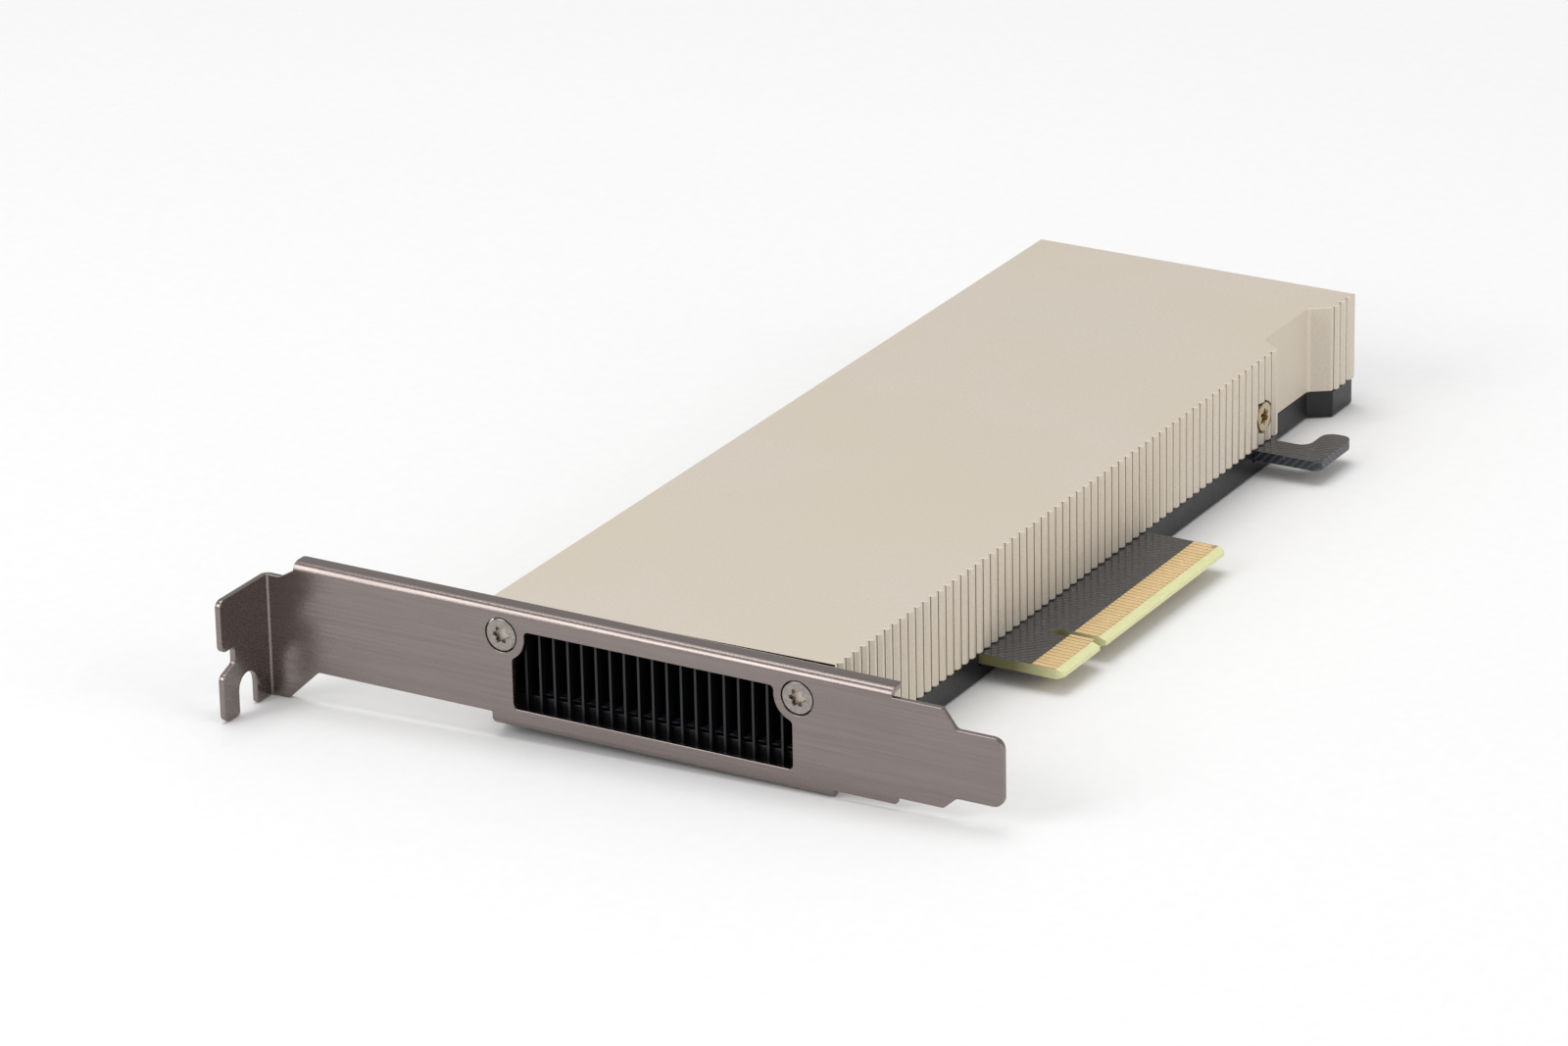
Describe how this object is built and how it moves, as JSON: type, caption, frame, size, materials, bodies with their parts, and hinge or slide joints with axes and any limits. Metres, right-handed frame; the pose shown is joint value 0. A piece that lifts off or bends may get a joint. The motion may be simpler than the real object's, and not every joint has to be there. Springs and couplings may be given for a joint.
{
  "type": "passive accelerator card",
  "caption": "Passive half-length accelerator card: ribbed champagne cover, skived heat sink, black back tray, steel bracket with a window, gold edge contacts and a retention hook.",
  "frame": {"origin": "middle of the edge connector's key notch, on the connector's leading edge and half way through the board", "axes": "+X from the bracket to the rear end, +Y from the edge connector up to the bracket's screw tab, +Z to the component side"},
  "size_m": [0.1792, 0.12, 0.0214],
  "materials": {
    "nickel_steel": "satin, brushed",
    "champagne_aluminium": "satin, bead blasted and anodised",
    "fin_aluminium": "satin, black anodised",
    "screw_steel": "satin",
    "black_steel": "satin black",
    "tray_black": "satin black",
    "solder_mask": "satin",
    "contact_gold": "polished",
    "substrate_green": "satin",
    "silicon": "polished",
    "paste_grey": "matt",
    "package_black": "matt",
    "pad_silicone": "matt",
    "ferrite_grey": "matt",
    "capacitor_case": "satin",
    "ceramic_brown": "satin",
    "clock_can": "satin",
    "insulator_film": "satin"
  },
  "bodies": {
    "root": {"bracket": "nickel_steel", "bracket_screw_lower": "screw_steel", "bracket_screw_upper": "screw_steel", "cover": "champagne_aluminium", "side_screw_lower": "screw_steel", "side_screw_upper": "screw_steel", "heatsink": "fin_aluminium", "circuit_board": "solder_mask", "contacts_component_side": "contact_gold", "contacts_solder_side": "contact_gold", "processor_substrate": "substrate_green", "processor_die": "silicon", "thermal_paste": "paste_grey", "memory_chips": "package_black", "memory_pads": "pad_silicone", "memory_chips_back": "package_black", "memory_pads_back": "pad_silicone", "power_inductors": "ferrite_grey", "power_stages": "package_black", "power_stage_pads": "pad_silicone", "polymer_capacitors": "capacitor_case", "power_controller": "package_black", "flash_chip": "package_black", "clock_oscillator": "clock_can", "ceramic_capacitors": "ceramic_brown", "back_tray": "tray_black", "tray_screws": "black_steel", "retention_plate": "nickel_steel", "retention_screws": "black_steel", "insulator_sheet": "insulator_film"}
  },
  "joints": []
}
